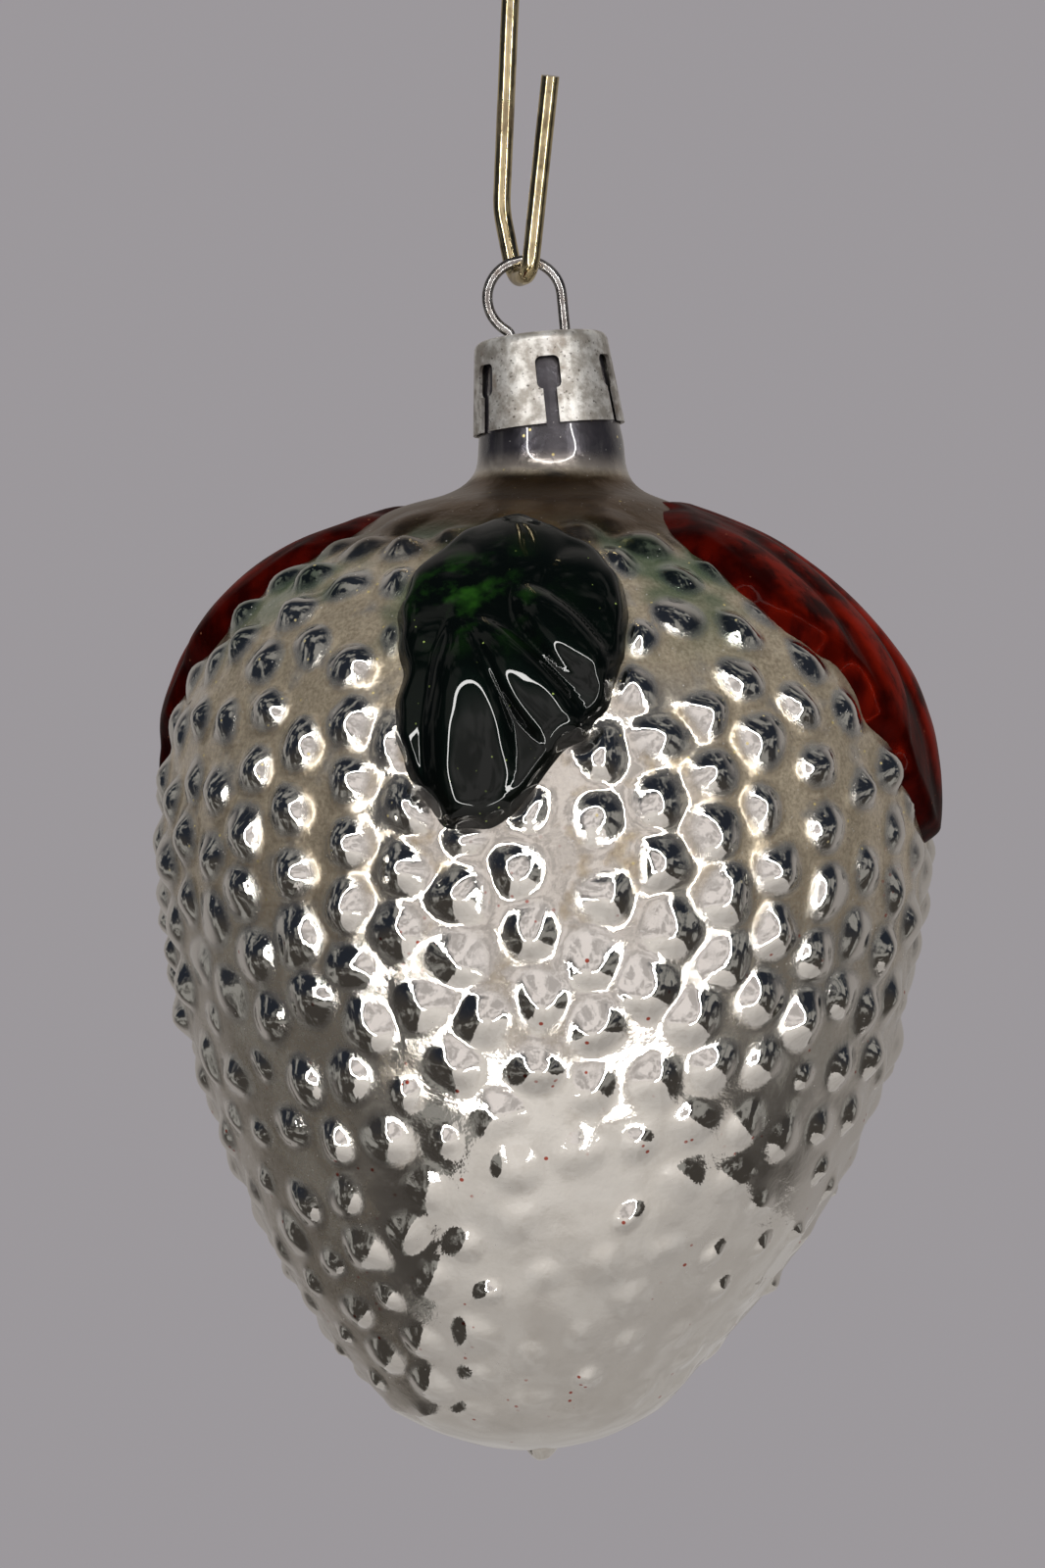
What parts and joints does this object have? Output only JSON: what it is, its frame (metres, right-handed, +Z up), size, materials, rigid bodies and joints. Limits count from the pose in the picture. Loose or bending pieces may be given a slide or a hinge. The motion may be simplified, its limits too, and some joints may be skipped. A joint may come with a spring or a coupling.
{
  "type": "glass berry ornament",
  "caption": "Hanging blown-glass berry with worn silvering, lacquered leaves, crimped metal cap, spring-wire loop and a wire hook for a branch.",
  "frame": {"origin": "inner crown of the hook's upper bend, the point that rests on the branch", "axes": "+Z up, -Y the way the front leaf faces, +X to the viewer's right"},
  "size_m": [0.0553, 0.0556, 0.1211],
  "materials": {
    "clear_glass": "gloss, with a faint milky bloom low down",
    "silvering": "mirror film, stained tan and worn away in the lower half",
    "green_lacquer": "clear dark lacquer, very glossy",
    "red_lacquer": "clear red lacquer, very glossy, with dark streaks",
    "tin": "dull, mottled tin",
    "spring_wire": "dull with bright edges",
    "hook_wire": "drawn wire, slightly tarnished"
  },
  "bodies": {
    "hook": {"hook": "hook_wire"},
    "hanger": {"hanger_wire": "spring_wire"},
    "cap": {"cap": "tin"},
    "glass": {"glass_body": "clear_glass", "glass_neck": "clear_glass", "silver_lining": "silvering", "front_leaf": "green_lacquer", "right_leaf": "red_lacquer", "back_leaf": "green_lacquer", "left_leaf": "red_lacquer"}
  },
  "joints": [
    {"name": "ornament_swing", "type": "hinge", "parent": "hook", "child": "hanger", "pos_m": [0, 0, -0.037], "axis": [0, 1, 0], "range_deg": [-60, 60]},
    {"name": "wire_pull", "type": "slide", "parent": "hanger", "child": "cap", "axis": [0.0958, 0, -0.9954], "range_m": [0, 0.0115]},
    {"name": "cap_pull", "type": "slide", "parent": "cap", "child": "glass", "axis": [0.0958, 0, -0.9954], "range_m": [0, 0.0115]}
  ]
}
